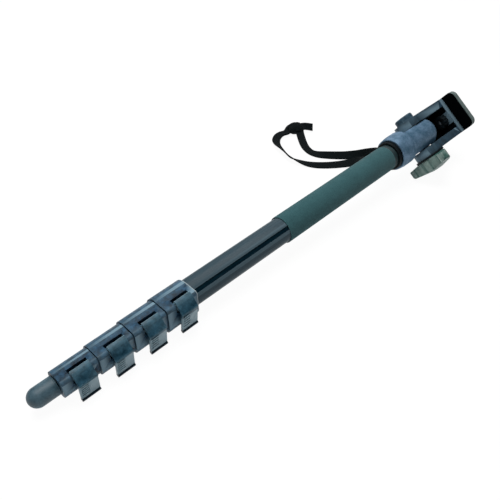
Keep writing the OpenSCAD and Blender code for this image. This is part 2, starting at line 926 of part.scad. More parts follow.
// Half section of the knob's turned form: a sloping underside, a rim with a rounded edge and a low dome
module knob_profile() {
    polygon([
        [0, 0],
        [thrust_r, 0],
        [knob_r, knob_under_h],
        [knob_r, knob_rim_h],
        [0, knob_rim_h]
    ]);
    translate([0, knob_rim_h])
        square([dome_r, knob_round]);
    translate([dome_r, knob_rim_h])
        circle(r = knob_round);
    polygon([
        [0, knob_rim_h],
        [dome_r, dome_from],
        [crown_r + crown_edge, knob_h - crown_drop],
        [crown_r, knob_h],
        [0, knob_h]
    ]);
}

module knob() {
    color(knob_grey)
        head()
            translate([-knob_at, 0, 0])
                to_knob()
                    difference() {
                        intersection() {
                            rotate([0, 0, knob_turn + lobe_step / 2])
                                rotate_extrude()
                                    intersection() {
                                        knob_profile();
                                        square([knob_r, knob_h]);
                                    }
                            linear_extrude(height = knob_h + cut_past)
                                knob_outline();
                        }
                        translate([0, 0, -cut_past])
                            cylinder(r = bolt_r + run_gap, h = nut_sink + nut_h + 2 * cut_past);
                        translate([0, 0, nut_sink])
                            hexagon(nut_af + hex_gap, nut_h + hex_gap);
                    }
}

module knob_nut() {
    color(brass)
        head()
            translate([-knob_at - nut_sink, 0, 0])
                to_knob()
                    difference() {
                        hexagon(nut_af, nut_h);
                        translate([0, 0, -cut_past])
                            cylinder(r = bolt_r + run_gap, h = nut_h + 2 * cut_past);
                    }
}

module camera_plate() {
    color(navy)
        head()
            translate([0, 0, yoke_top])
                difference() {
                    rounded_plate(plate_w, plate_d, plate_t, plate_r);
                    translate([0, 0, -cut_past])
                        cylinder(r = shank_r + hole_gap, h = plate_t + 2 * cut_past);
                }
}

module camera_pad() {
    pad_w = plate_w - 2 * pad_inset;
    pad_d = plate_d - 2 * pad_inset;
    color(knob_grey)
        head()
            translate([0, 0, yoke_top + plate_t])
                difference() {
                    rounded_plate(pad_w, pad_d, pad_t, plate_r - pad_inset);
                    translate([0, 0, -cut_past])
                        cylinder(r = screw_r + hole_gap, h = pad_t + 2 * cut_past);
                }
}

module camera_screw() {
    color(steel)
        head()
            difference() {
                union() {
                    translate([0, 0, wheel_low])
                        cylinder(r = shank_r, h = pad_top - wheel_low);
                    translate([0, 0, pad_top])
                        cylinder(r = screw_r, h = screw_out);
                }
                translate([0, 0, yoke_top - ring_t - ring_play])
                    ring(shank_r + cut_past, shank_r - ring_bite, ring_t);
            }
}

module thumb_wheel() {
    color(plastic)
        head()
            translate([0, 0, wheel_low])
                difference() {
                    cylinder(r = wheel_r, h = wheel_h);
                    translate([0, 0, -cut_past])
                        cylinder(r = shank_r, h = wheel_h + 2 * cut_past);
                    for (k = [0 : wheel_notches - 1])
                        rotate([0, 0, 360 / wheel_notches * k])
                            translate([wheel_r + notch_out, 0, -cut_past])
                                cylinder(r = notch_r, h = wheel_h + 2 * cut_past);
                }
}

module retaining_ring() {
    color(steel)
        head()
            translate([0, 0, yoke_top - ring_t - ring_play])
                difference() {
                    ring(ring_r, shank_r - ring_bite, ring_t);
                    translate([0, -ring_slit / 2, -cut_past])
                        cube([ring_r + cut_past, ring_slit, ring_t + 2 * cut_past]);
                }
}

// A flat band swept along points [x, y, z, roll]; roll turns its width up from the floor.
function unit(v) = v / norm(v);
function xyz(p) = [p[0], p[1], p[2]];
function spline(p0, p1, p2, p3, t) =
    0.5 * (2 * p1 + (p2 - p0) * t + (2 * p0 - 5 * p1 + 4 * p2 - p3) * t * t
           + (3 * p1 - p0 - 3 * p2 + p3) * t * t * t);
function smooth(pts) = [
    for (i = [0 : len(pts) - 2], k = [0 : band_steps - 1])
        spline(pts[max(i - 1, 0)], pts[i], pts[i + 1], pts[min(i + 2, len(pts) - 1)], k / band_steps),
    pts[len(pts) - 1]
];
function heading(pts, i) = unit(xyz(pts[min(i + 1, len(pts) - 1)]) - xyz(pts[max(i - 1, 0)]));
function across(dir) = unit(cross(dir, [0, 0, 1]));
function band_ring(p, dir, shape) = let (
    side = across(dir),
    up = cross(side, dir),
    wide = cos(p[3]) * side + sin(p[3]) * up,
    thick = cross(dir, wide)
) [for (q = shape) xyz(p) + q[0] * wide + q[1] * thick];
function flat_shape(w, t) = let (c = t / 4) [
    [w / 2, -t / 2 + c], [w / 2, t / 2 - c], [w / 2 - c, t / 2], [-w / 2 + c, t / 2],
    [-w / 2, t / 2 - c], [-w / 2, -t / 2 + c], [-w / 2 + c, -t / 2], [w / 2 - c, -t / 2]
];

function oval_shape(rx, ry) = [
    for (k = [0 : knot_sides - 1]) let (a = 360 * k / knot_sides) [rx * cos(a), ry * sin(a)]
];

module swept(rings) {
    n = len(rings[0]);
    m = len(rings);
    points = [for (r = rings, p = r) p];
    sides = [
        for (i = [0 : m - 2], k = [0 : n - 1])
            let (a = i * n + k, b = i * n + (k + 1) % n)
                for (f = [[a, b, b + n], [a, b + n, a + n]]) f
    ];
    top = (m - 1) * n;
    ends = [
        for (k = [1 : n - 2])
            for (f = [[0, k + 1, k], [top, top + k, top + k + 1]]) f
    ];
    polyhedron(points = points, faces = [for (f = concat(sides, ends)) [f[2], f[1], f[0]]]);
}

module band(route) {
    pts = smooth(route);
    swept([for (i = [0 : len(pts) - 1]) band_ring(pts[i], heading(pts, i), flat_shape(strap_w, strap_t))]);
}

module strap_leg_front() {
    color(webbing)
        band(leg_front);
}

module strap_leg_back() {
    color(webbing)
        band(leg_back);
}

// The knot: a spindle of wound webbing, and the cut end that sticks out of it
module strap_knot() {
    pts = smooth(knot_route);
    last = len(pts) - 1;
    color(webbing) {
        swept([
            for (i = [0 : last])
                let (r = knot_end_r + (knot_mid_r - knot_end_r) * sin(180 * i / last))
                    band_ring(pts[i], heading(pts, i), oval_shape(r, knot_flat * r))
        ]);
        band(tail_route);
    }
}

for (i = [1 : 5])
    tube_body(i);
for (i = [2 : 5])
    guide(i);
for (i = [1 : 4]) {
    housing(i);
    lever(i);
    hinge_pin(i);
    brake_shoe(i);
}
rubber_foot();
foot_plug();
grip_sleeve();
plain_band();
strap_collar();
tube_top_plug();
neck();
neck_set_screws();
yoke();
friction_washers();
tilt_bolt();
bolt_cap();
thrust_washer();
knob();
knob_nut();
camera_plate();
camera_pad();
camera_screw();
thumb_wheel();
retaining_ring();
strap_leg_front();
strap_leg_back();
strap_knot();
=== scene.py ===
"""Camera monopod: the finish of every surface, the wrist strap, the studio light and the camera.

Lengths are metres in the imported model's own frame, +Z up, except where a comment says millimetres.
"""

import math

import bmesh
import bpy
from mathutils import Matrix, Vector, noise


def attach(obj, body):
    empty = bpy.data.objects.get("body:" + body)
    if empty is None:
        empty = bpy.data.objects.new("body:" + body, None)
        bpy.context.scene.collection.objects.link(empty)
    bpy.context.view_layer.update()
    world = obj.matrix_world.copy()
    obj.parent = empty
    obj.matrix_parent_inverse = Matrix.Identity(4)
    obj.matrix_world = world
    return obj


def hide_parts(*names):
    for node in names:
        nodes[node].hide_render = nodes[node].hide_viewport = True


MM = 0.001

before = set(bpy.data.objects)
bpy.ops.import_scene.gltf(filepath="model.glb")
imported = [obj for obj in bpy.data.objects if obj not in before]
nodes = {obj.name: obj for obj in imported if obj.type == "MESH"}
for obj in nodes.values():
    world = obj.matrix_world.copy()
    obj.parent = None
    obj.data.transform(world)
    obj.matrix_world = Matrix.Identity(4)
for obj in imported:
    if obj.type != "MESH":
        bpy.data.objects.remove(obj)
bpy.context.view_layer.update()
scene = bpy.context.scene
scene.view_settings.view_transform = "Standard"

# Camera, at the photograph's viewing angle

CAMERA_AT = Vector((-0.35172, -0.26802, 0.38314))
CAMERA_TARGET = Vector((-0.03358, 0.03045, 0.0))
CAMERA_ROLL = math.radians(3.091)
CAMERA_LENS = 43.2
CAMERA_SENSOR = 36.0
CLIP_NEAR = 0.01
CLIP_FAR = 20.0


def make_camera():
    data = bpy.data.cameras.new("camera")
    data.lens = CAMERA_LENS
    data.sensor_width = CAMERA_SENSOR
    data.sensor_fit = "HORIZONTAL"
    data.clip_start = CLIP_NEAR
    data.clip_end = CLIP_FAR
    camera = bpy.data.objects.new("camera", data)
    look = (CAMERA_TARGET - CAMERA_AT).to_track_quat("-Z", "Y").to_matrix().to_4x4()
    camera.matrix_world = Matrix.Translation(CAMERA_AT) @ look @ Matrix.Rotation(CAMERA_ROLL, 4, "Z")
    scene.collection.objects.link(camera)
    scene.camera = camera


make_camera()


# Directions of the part as it lies: along its tubes, and the tilt head's own axes

LAY = math.radians(3.2693)
HEAD_ROLL = math.radians(35)
TUBE_WAY = Vector((math.cos(LAY), 0, math.sin(LAY)))
TUBE_UP = Vector((-math.sin(LAY), 0, math.cos(LAY)))
HEAD_SIDE = math.cos(HEAD_ROLL) * Vector((0, 1, 0)) + math.sin(HEAD_ROLL) * TUBE_UP
FOOT_TIP = Vector((-278.82, 8.47, 13.73)) * MM
# From the foot's tip to the tilt bolt, and from the tubes' axis to the head's middle
TILT_REACH = 485 * MM
HEAD_SHIFT = 2 * MM
TILT_AT = FOOT_TIP + TILT_REACH * TUBE_WAY - HEAD_SHIFT * HEAD_SIDE
# Sizes that a finish follows, in millimetres
YOKE_TOP = 61.0
PLATFORM_T = 8.5
ARM_INSIDE = 14.2
LIP_DROP = 15.6
TAB_TOP = 4.0
LOCK_1_TOP = 148.1
# Where the painted light and shade on the tabs, lips, housing rim, yoke hollow and plate underside change
# over, in millimetres from those sizes
TAB_FADE = 1.0
LIP_BAND = (3.2, 4.4)
RIM_BAND = (0.9, 0.4)
ARM_FADE = 0.1
LEDGE_FADE = 0.2
PLATE_BAND = (0.3, 0.6)
# Specular level of the moulded plastics
PLASTIC_SHINE = 0.16
# Pointiness at which a pale edge begins, and at which it is full; the pale edges are wear and painted
# highlights, and on the knob painted highlight lines
WEAR_AND_HIGHLIGHT_EDGE = (0.52, 0.58)
KNOB_EDGE = (0.515, 0.565)


# Shader helpers


def srgb(red, green, blue):
    """A colour as it is written in a picture, 0 to 255, as the linear colour that a shader takes."""
    linear = []
    for value in (red, green, blue):
        share = value / 255
        linear.append(share / 12.92 if share <= 0.04045 else ((share + 0.055) / 1.055) ** 2.4)
    return (*linear, 1.0)


class Shader:
    """One material, with the node links that the finishes below have in common."""

    def __init__(self, name):
        self.material = bpy.data.materials.new(name)
        self.material.use_nodes = True
        self.tree = self.material.node_tree
        self.surface = self.tree.nodes["Principled BSDF"]
        self.height = None

    def node(self, kind, **settings):
        made = self.tree.nodes.new(kind)
        for key, value in settings.items():
            setattr(made, key, value)
        return made

    def link(self, output, target):
        self.tree.links.new(output, target)

    def set(self, **sockets):
        for key, value in sockets.items():
            self.surface.inputs[key.replace("_", " ")].default_value = value
        return self

    def place(self, scale=(1, 1, 1)):
        """Object coordinates in metres, stretched by scale."""
        coordinates = self.node("ShaderNodeTexCoord")
        mapping = self.node("ShaderNodeMapping")
        mapping.inputs["Scale"].default_value = scale
        self.link(coordinates.outputs["Object"], mapping.inputs["Vector"])
        return mapping.outputs["Vector"]

    def along(self, way, origin):
        """How far a place lies from an origin in one direction, in millimetres."""
        coordinates = self.node("ShaderNodeTexCoord")
        offset = self.node("ShaderNodeVectorMath", operation="SUBTRACT")
        offset.inputs[1].default_value = origin
        dot = self.node("ShaderNodeVectorMath", operation="DOT_PRODUCT")
        dot.inputs[1].default_value = way / MM
        self.link(coordinates.outputs["Object"], offset.inputs[0])
        self.link(offset.outputs["Vector"], dot.inputs[0])
        return dot.outputs["Value"]

    def between(self, value, low, high):
        """0 below low, 1 above high, and a smooth step from one to the other."""
        step = self.node("ShaderNodeMapRange", interpolation_type="SMOOTHSTEP")
        step.inputs["From Min"].default_value = low
        step.inputs["From Max"].default_value = high
        self.link(value, step.inputs["Value"])
        return step.outputs["Result"]

    def noise(self, grain, detail=3.0, roughness=0.5, where=None):
        """Noise whose blobs are about as large as grain, in metres."""
        texture = self.node("ShaderNodeTexNoise")
        texture.inputs["Scale"].default_value = 1 / grain
        texture.inputs["Detail"].default_value = detail
        texture.inputs["Roughness"].default_value = roughness
        self.link(where or self.place(), texture.inputs["Vector"])
        return texture.outputs["Fac"]

    def ramp(self, value, stops):
        """A value spread over colour stops, each a position and a colour or a grey."""
        ramp = self.node("ShaderNodeValToRGB")
        points = ramp.color_ramp.elements
        while len(points) < len(stops):
            points.new(0.5)
        for point, (position, colour) in zip(points, stops):
            point.position = position
            point.color = colour if isinstance(colour, tuple) else (colour, colour, colour, 1)
        self.link(value, ramp.inputs["Fac"])
        return ramp.outputs["Color"]

    def mix(self, share, first, second):
        """Two colours, mixed by a share that is a socket or a number."""
        mix = self.node("ShaderNodeMix", data_type="RGBA")
        for value, key in ((share, "Factor"), (first, "A"), (second, "B")):
            socket = mix.inputs[key]
            if isinstance(value, (tuple, float, int)):
                socket.default_value = value
            else:
                self.link(value, socket)
        return mix.outputs["Result"]

    def edges(self, span=WEAR_AND_HIGHLIGHT_EDGE):
        """White on sharp convex edges, black elsewhere: the mask for edges painted pale, for wear and for
        painted highlights.
        """
        low, high = span
        geometry = self.node("ShaderNodeNewGeometry")
        return self.ramp(geometry.outputs["Pointiness"], [(low, 0.0), (high, 1.0)])

    def colour(self, socket):
        self.link(socket, self.surface.inputs["Base Color"])
        return self

    def rough(self, socket):
        self.link(socket, self.surface.inputs["Roughness"])
        return self

    def shine(self, share):
        """Keeps the plastic's shine where share is 1, and takes it off where share is 0."""
        level = self.node("ShaderNodeMath", operation="MULTIPLY")
        level.inputs[1].default_value = PLASTIC_SHINE
        self.link(share, level.inputs[0])
        self.link(level.outputs[0], self.surface.inputs["Specular IOR Level"])
        return self

    def bump(self, height, depth, strength=1.0):
        """One more layer of relief, depth metres high."""
        bump = self.node("ShaderNodeBump")
        bump.inputs["Strength"].default_value = strength
        bump.inputs["Distance"].default_value = depth
        self.link(height, bump.inputs["Height"])
        if self.height is not None:
            self.link(self.height, bump.inputs["Normal"])
        self.height = bump.outputs["Normal"]
        self.link(self.height, self.surface.inputs["Normal"])
        return self


# Finishes


def moulded_body(name, dark, base, wear_and_highlight, gloss, edge=WEAR_AND_HIGHLIGHT_EDGE):
    """Moulded nylon: cloudy handling marks, edges pale with wear and painted highlights, and a fine spark
    texture.

    Returns the shader and the colour, which is not yet linked to it.
    """
    shader = Shader(name)
    cloud = shader.noise(5 * MM, detail=6.0, roughness=0.62)
    body = shader.ramp(cloud, [(0.36, dark), (0.7, base)])
    colour = shader.mix(shader.edges(edge), body, wear_and_highlight)
    shader.rough(shader.ramp(shader.noise(2.5 * MM), [(0.3, gloss), (0.75, gloss + 0.16)]))
    shader.bump(shader.noise(0.5 * MM, detail=2.0), 0.02 * MM, 0.6)
    shader.set(Specular_IOR_Level=PLASTIC_SHINE)
    return shader, colour


def moulded_plastic(name, dark, base, wear_and_highlight, gloss, edge=WEAR_AND_HIGHLIGHT_EDGE):
    shader, colour = moulded_body(name, dark, base, wear_and_highlight, gloss, edge)
    return shader.colour(colour).material


def lever_plastic():
    """The levers' plastic, painted pale on the tabs as painted light from the floor, and dark along the lip
    at the end of each as painted shade.
    """
    dark, base, wear_and_highlight = srgb(22, 56, 72), srgb(66, 110, 132), srgb(124, 154, 166)
    shader, colour = moulded_body("lever_plastic", dark, base, wear_and_highlight, 0.26)
    height = shader.along(TUBE_UP, FOOT_TIP)
    # Painted light: the tabs, below TAB_TOP, turn pale as if lit from the floor.
    colour = shader.mix(shader.between(height, TAB_TOP - TAB_FADE, TAB_TOP), srgb(140, 168, 180), colour)
    # Painted shade: the lip at the end of each tab turns dark.
    lip_shade = shader.between(height, LIP_BAND[0] - LIP_DROP, LIP_BAND[1] - LIP_DROP)
    return shader.colour(shader.mix(lip_shade, srgb(22, 48, 62), colour)).material


def lock_plastic():
    """The housings' plastic, with a painted highlight along the rim that the largest tube stands in."""
    dark, base, wear_and_highlight = srgb(6, 26, 41), srgb(56, 99, 130), srgb(130, 161, 178)
    shader, colour = moulded_body("lock_plastic", dark, base, wear_and_highlight, 0.4)
    reach = shader.along(TUBE_WAY, FOOT_TIP)
    # Painted highlight: a pale band round the top rim of the largest housing.
    rim_highlight = shader.between(reach, LOCK_1_TOP - RIM_BAND[0], LOCK_1_TOP - RIM_BAND[1])
    return shader.colour(shader.mix(rim_highlight, colour, srgb(168, 182, 188))).material


def yoke_plastic():
    """The yoke's plastic, with painted shade: black, without shine, in the hollow between the arms."""
    dark, base, wear_and_highlight = srgb(6, 22, 34), srgb(34, 64, 84), srgb(116, 142, 156)
    shader, colour = moulded_body("yoke_plastic", dark, base, wear_and_highlight, 0.36)
    side = shader.node("ShaderNodeMath", operation="ABSOLUTE")
    shader.link(shader.along(HEAD_SIDE, TILT_AT), side.inputs[0])
    arms = shader.between(side.outputs[0], ARM_INSIDE - ARM_FADE, ARM_INSIDE + ARM_FADE)
    ledge_at = YOKE_TOP - PLATFORM_T
    ledge = shader.between(shader.along(TUBE_WAY, TILT_AT), ledge_at - LEDGE_FADE, ledge_at)
    # Painted shade: inside the arms and below the ledge the plastic turns black and loses its shine.
    clear_of_hollow_shade = shader.node("ShaderNodeMath", operation="MAXIMUM")
    shader.link(arms, clear_of_hollow_shade.inputs[0])
    shader.link(ledge, clear_of_hollow_shade.inputs[1])
    shader.shine(clear_of_hollow_shade.outputs[0])
    return shader.colour(shader.mix(clear_of_hollow_shade.outputs[0], srgb(4, 6, 8), colour)).material


def plate_metal():
    """Sheet metal, grey-green, with painted shade: black, without shine, on its underside."""
    dark, base, wear_and_highlight = srgb(70, 88, 88), srgb(104, 122, 120), srgb(150, 162, 160)
    shader, colour = moulded_body("plate_metal", dark, base, wear_and_highlight, 0.42)
    reach = shader.along(TUBE_WAY, TILT_AT)
    # Painted shade: below this band, on the underside, the metal turns black and loses its shine.
    edge = shader.between(reach, YOKE_TOP + PLATE_BAND[0], YOKE_TOP + PLATE_BAND[1])
    shader.shine(edge)
    return shader.colour(shader.mix(edge, srgb(7, 10, 11), colour)).material


def anodised_tube():
    """Dark anodised aluminium: long drawing lines, a satin gloss and paler edges."""
    shader = Shader("tube_anodised")
    along = shader.place(scale=(0.02, 1, 1))
    lines = shader.noise(0.7 * MM, detail=3.0, where=along)
    body = shader.ramp(lines, [(0.35, srgb(4, 26, 37)), (0.7, srgb(11, 42, 54))])
    # The pale edges are painted highlights, along the groove's edges most of all.
    shader.colour(shader.mix(shader.edges(), body, srgb(92, 112, 122)))
    shader.rough(shader.ramp(lines, [(0.3, 0.2), (0.75, 0.32)]))
    shader.bump(lines, 0.004 * MM, 0.5)
    shader.set(Specular_IOR_Level=0.08)
    return shader.material


def foam_grip():
    """Closed-cell foam: dull, pitted, mottled grey-green."""
    shader = Shader("grip_foam")
    cells = shader.noise(0.55 * MM, detail=2.0, roughness=0.7)
    cloud = shader.noise(11 * MM, detail=5.0)
    body = shader.ramp(cloud, [(0.3, srgb(47, 86, 91)), (0.7, srgb(61, 103, 108))])
    pits = shader.ramp(cells, [(0.3, srgb(31, 66, 70)), (0.55, srgb(69, 112, 117))])
    shader.colour(shader.mix(0.55, body, pits))
    shader.bump(cells, 0.12 * MM, 0.7)
    shader.set(Roughness=0.92, Specular_IOR_Level=0.25, Sheen_Weight=0.12, Sheen_Roughness=0.5)
    return shader.material


def soft_rubber(name, dark, base, gloss=0.55):
    """Rubber with a dusty bloom and a faint moulding grain."""
    shader = Shader(name)
    bloom = shader.noise(6 * MM, detail=5.0, roughness=0.65)
    shader.colour(shader.ramp(bloom, [(0.32, dark), (0.7, base)]))
    shader.rough(shader.ramp(bloom, [(0.3, gloss), (0.7, gloss + 0.2)]))
    shader.bump(shader.noise(0.7 * MM, detail=2.0), 0.03 * MM, 0.6)
    return shader.material


def hammered_cast():
    """Die-cast alloy under a blue-grey hammer-finish lacquer."""
    shader = Shader("neck_cast")
    dimples = shader.noise(1.6 * MM, detail=2.0, roughness=0.4)
    cloud = shader.noise(8 * MM, detail=4.0)
    body = shader.ramp(cloud, [(0.36, srgb(68, 106, 134)), (0.66, srgb(122, 154, 186))])
    fleck = shader.ramp(dimples, [(0.35, srgb(66, 102, 126)), (0.68, srgb(134, 170, 194))])
    shader.colour(shader.mix(0.3, body, fleck))
    shader.rough(shader.ramp(dimples, [(0.3, 0.42), (0.7, 0.58)]))
    shader.bump(dimples, 0.06 * MM, 0.6)
    shader.set(Metallic=0.25, Specular_IOR_Level=0.5)
    return shader.material


def turned_metal(name, base, bright, gloss=0.28):
    """Plated metal with fine turning marks."""
    shader = Shader(name)
    marks = shader.noise(0.4 * MM, detail=3.0)
    shader.colour(shader.ramp(marks, [(0.3, base), (0.7, bright)]))
    shader.rough(shader.ramp(marks, [(0.3, gloss), (0.7, gloss + 0.12)]))
    shader.bump(marks, 0.005 * MM, 0.5)
    shader.set(Metallic=1.0)
    return shader.material


def webbing():
    """Woven polyester: slanting twill, a fuzz of loose fibres and hardly any sheen."""
    shader = Shader("webbing")
    map_node = shader.node("ShaderNodeUVMap", uv_map="weave")
    wave = shader.node("ShaderNodeTexWave", wave_type="BANDS", bands_direction="DIAGONAL")
    wave.inputs["Scale"].default_value = 0.45
    wave.inputs["Distortion"].default_value = 0.6
    wave.inputs["Detail"].default_value = 1.0
    shader.link(map_node.outputs["UV"], wave.inputs["Vector"])
    threads = wave.outputs["Fac"]
    fuzz = shader.noise(0.5 * MM, detail=3.0)
    body = shader.ramp(threads, [(0.2, srgb(2, 8, 10)), (0.8, srgb(8, 18, 21))])
    shader.colour(shader.mix(shader.ramp(fuzz, [(0.4, 0.0), (0.8, 0.5)]), body, srgb(14, 25, 27)))
    shader.bump(threads, 0.18 * MM, 0.8)
    shader.bump(fuzz, 0.06 * MM, 0.5)
    shader.set(Roughness=0.82, Specular_IOR_Level=0.14, Sheen_Weight=0.04, Sheen_Roughness=0.45)
    return shader.material


FINISH = {
    "lock_plastic": lock_plastic(),
    "lever_plastic": lever_plastic(),
    "tube_anodised": anodised_tube(),
    "foot_rubber": soft_rubber("foot_rubber", srgb(57, 85, 97), srgb(87, 116, 130), 0.42),
    "shoe_rubber": soft_rubber("shoe_rubber", srgb(14, 15, 16), srgb(26, 27, 28)),
    "nylon": moulded_plastic("nylon", srgb(18, 20, 22), srgb(30, 32, 34), srgb(60, 62, 64), 0.45),
    "steel": turned_metal("steel", srgb(150, 154, 156), srgb(186, 190, 192)),
    "brass": turned_metal("brass", srgb(150, 122, 66), srgb(190, 160, 92)),
    "grip_foam": foam_grip(),
    "band_print": soft_rubber("band_print", srgb(28, 48, 52), srgb(42, 64, 68), 0.5),
    "neck_cast": hammered_cast(),
    "yoke_plastic": yoke_plastic(),
    "cap_plastic": moulded_plastic(
        "cap_plastic", srgb(40, 66, 82), srgb(84, 112, 128), srgb(150, 170, 178), 0.42
    ),
    # The knob's edges are painted near white from a low pointiness: painted highlight lines.
    "knob_plastic": moulded_plastic(
        "knob_plastic", srgb(46, 84, 79), srgb(97, 136, 128), srgb(210, 226, 218), 0.3, KNOB_EDGE
    ),
    "washer_plastic": moulded_plastic(
        "washer_plastic", srgb(3, 7, 9), srgb(8, 16, 20), srgb(24, 36, 42), 0.5
    ),
    "plate_metal": plate_metal(),
    "pad_rubber": soft_rubber("pad_rubber", srgb(96, 112, 110), srgb(126, 140, 138)),
    "webbing": webbing(),
}


# Wrist strap: one length of webbing from the slot in the collar, through its knot, and back to the slot

STRAP_W = 10 * MM
STRAP_T = 1.6 * MM
STRAP_STEP = 0.45 * MM
RIB_PITCH = 1.35 * MM
RIB_SWELL = 0.07
# Share of a rib's swell that shows along the band's edges
RIB_SIDE = 0.2

# Points in millimetres with the band's roll in degrees, 0 where it lies flat
LEG_FRONT = [
    (155.2, 24.3, 27.4, 125), (160.7, 24.6, 27.5, 125), (168.3, 28, 26.8, 115), (175.8, 34.8, 22, 102),
    (180.6, 42.9, 16.6, 98), (179.7, 51.8, 11.8, 84), (172.8, 60.4, 8, 58), (164.8, 70.4, 5.2, 40),
    (157.6, 79.5, 3.8, 34), (150.3, 88.5, 3, 25), (145.3, 96.5, 2.2, 15), (143.7, 105.5, 1.4, 3),
    (146.3, 115.7, 1.4, 0), (151.9, 125.9, 2.4, 0), (161.1, 139.2, 5.5, 0)
]
KNOT_ROUTE = [
    (161.1, 139.2, 5.5, 0), (168.3, 147.3, 6.5, 0), (170.9, 154.4, 6.5, 0), (162.7, 156.4, 6.2, 0),
    (151.9, 152.7, 5, 0)
]
TAIL_ROUTE = [(169.4, 147.2, 8, -30), (175.6, 143.6, 8, -36), (183.4, 138.2, 6, -40)]
LEG_BACK = [
    (151.9, 152.7, 5, 0), (144.2, 155.1, 4, 0), (136.1, 153.5, 4, 5), (127.9, 148.4, 4, 12),
    (121.7, 140.3, 4.6, 25), (117.2, 128.5, 5.2, 42), (113.5, 117.4, 5.6, 50), (112.5, 108.4, 5.2, 40),
    (118.2, 94.2, 2.8, 8), (124.8, 85.2, 1.8, -6), (133, 76.7, 1.9, -11), (141.1, 70.2, 2.1, -13),
    (149.4, 63.2, 3.2, -18), (155, 56.2, 6, -34), (156.1, 47.6, 11.7, -56), (151.4, 37.6, 19.3, -75),
    (147.1, 30.2, 25, -75), (148.7, 24.8, 26.7, -58), (154.2, 24.3, 27.3, -55)
]


def catmull(before, start, end, after, share):
    """A point on the smooth curve through four neighbours."""
    point = []
    for a, b, c, d in zip(before, start, end, after):
        bend = (c - a) * share
        bend += (2 * a - 5 * b + 4 * c - d) * share**2
        bend += (3 * b - a - 3 * c + d) * share**3
        point.append(b + bend / 2)
    return point


def smooth_route(points, step):
    """Stations about a step apart on the smooth curve through a route.

    Each has its place in metres and its roll in radians.
    """
    ends = [points[0], *points, points[-1]]
    stations = []
    for before, start, end, after in zip(ends, ends[1:], ends[2:], ends[3:]):
        span = (Vector(end[:3]) - Vector(start[:3])).length * MM
        count = max(2, round(span / step))
        for k in range(count):
            x, y, z, roll = catmull(before, start, end, after, k / count)
            stations.append((Vector((x, y, z)) * MM, math.radians(roll)))
    x, y, z, roll = points[-1]
    stations.append((Vector((x, y, z)) * MM, math.radians(roll)))
    return stations


# Half outline of the band's section: share of the half width, share of the half thickness
BAND_HALF = [
    (-1.0, 0.35), (-0.96, 0.85), (-0.86, 1.0), (-0.5, 0.86), (0.0, 0.84),
    (0.5, 0.86), (0.86, 1.0), (0.96, 0.85), (1.0, 0.35)
]
BAND_SECTION = BAND_HALF + [(across, -through) for across, through in reversed(BAND_HALF)]


def band_frame(stations, index):
    """The directions across and through the band at a station."""
    last = len(stations) - 1
    ahead = stations[min(index + 1, last)][0] - stations[max(index - 1, 0)][0]
    ahead.normalize()
    side = ahead.cross(Vector((0, 0, 1))).normalized()
    up = side.cross(ahead)
    roll = stations[index][1]
    wide = math.cos(roll) * side + math.sin(roll) * up
    return wide, ahead.cross(wide)


def new_piece(name, mesh_tool, material):
    """An object from a finished bmesh, shaded smooth, with one material."""
    bmesh.ops.recalc_face_normals(mesh_tool, faces=mesh_tool.faces)
    mesh = bpy.data.meshes.new(name)
    mesh_tool.to_mesh(mesh)
    mesh_tool.free()
    for face in mesh.polygons:
        face.use_smooth = True
    mesh.materials.append(FINISH[material])
    piece = bpy.data.objects.new(name, mesh)
    scene.collection.objects.link(piece)
    return piece


def woven_mesh():
    """An empty bmesh with a weave map."""
    tool = bmesh.new()
    tool.loops.layers.uv.new("weave")
    return tool


def skin(tool, rings, closed):
    """Faces from ring to ring, each corner with its place on the weave map, and caps on an open band."""
    weave = tool.loops.layers.uv["weave"]
    count = len(BAND_SECTION)
    following = rings[1:] + rings[:1] if closed else rings[1:]
    for first, second in zip(rings, following):
        for k in range(count):
            after = (k + 1) % count
            corners = [first[k], first[after], second[after], second[k]]
            face = tool.faces.new([corner[0] for corner in corners])
            for loop, corner in zip(face.loops, corners):
                loop[weave].uv = (corner[2] / MM, corner[1] / MM)
    if not closed:
        tool.faces.new([corner[0] for corner in reversed(rings[0])])
        tool.faces.new([corner[0] for corner in rings[-1]])


def sweep_band(tool, stations, width):
    """Webbing along stations, with its cross ribs."""
    rings = []
    travelled = 0.0
    for index, (place, _) in enumerate(stations):
        if index:
            travelled += (place - stations[index - 1][0]).length
        wide, through = band_frame(stations, index)
        swell = 1 + RIB_SWELL * math.sin(2 * math.pi * travelled / RIB_PITCH)
        ring = []
        for across, depth in BAND_SECTION:
            at = place + wide * (across * width / 2 * (1 + (swell - 1) * RIB_SIDE))
            at += through * (depth * STRAP_T / 2 * swell)
            ring.append((tool.verts.new(at), across * width / 2, travelled))
        rings.append(ring)
    skin(tool, rings, closed=False)


def make_strap():
    """The strap as one piece, and the places along its middle."""
    route = LEG_FRONT + KNOT_ROUTE[1:] + LEG_BACK[1:]
    stations = smooth_route(route, STRAP_STEP)
    tool = woven_mesh()
    sweep_band(tool, stations, STRAP_W)
    strap = new_piece("wrist_strap", tool, "webbing")
    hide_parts("strap_leg_front", "strap_leg_back")
    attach(strap, "mast")
    return strap, [place for place, _ in stations]


# Knot: two wraps of the webbing round a crushed core, and the cut tail
KNOT_AT = Vector((164.2, 149.8, 6.9)) * MM
KNOT_CORE = Vector((9.4, 9.8, 6.2)) * MM
KNOT_CRUSH = 0.9 * MM
# How fine the crush is: lumps to the core's half width
CRUSH_GRAIN = 2.3
CORE_DETAIL = 4
# Each wrap: turn about Z and lean in degrees, half axes along and up in millimetres
KNOT_WRAPS = [(12, 8, 10.6, 6.0), (-48, -12, 10.3, 5.9)]
WRAP_W = 8.5 * MM
WRAP_STEPS = 96
# How far a wrap's edges fall in to the core, as a share of its half axes
WRAP_SAG = 0.25
# Width of the tail as a share of the band's
TAIL_SHARE = 0.96


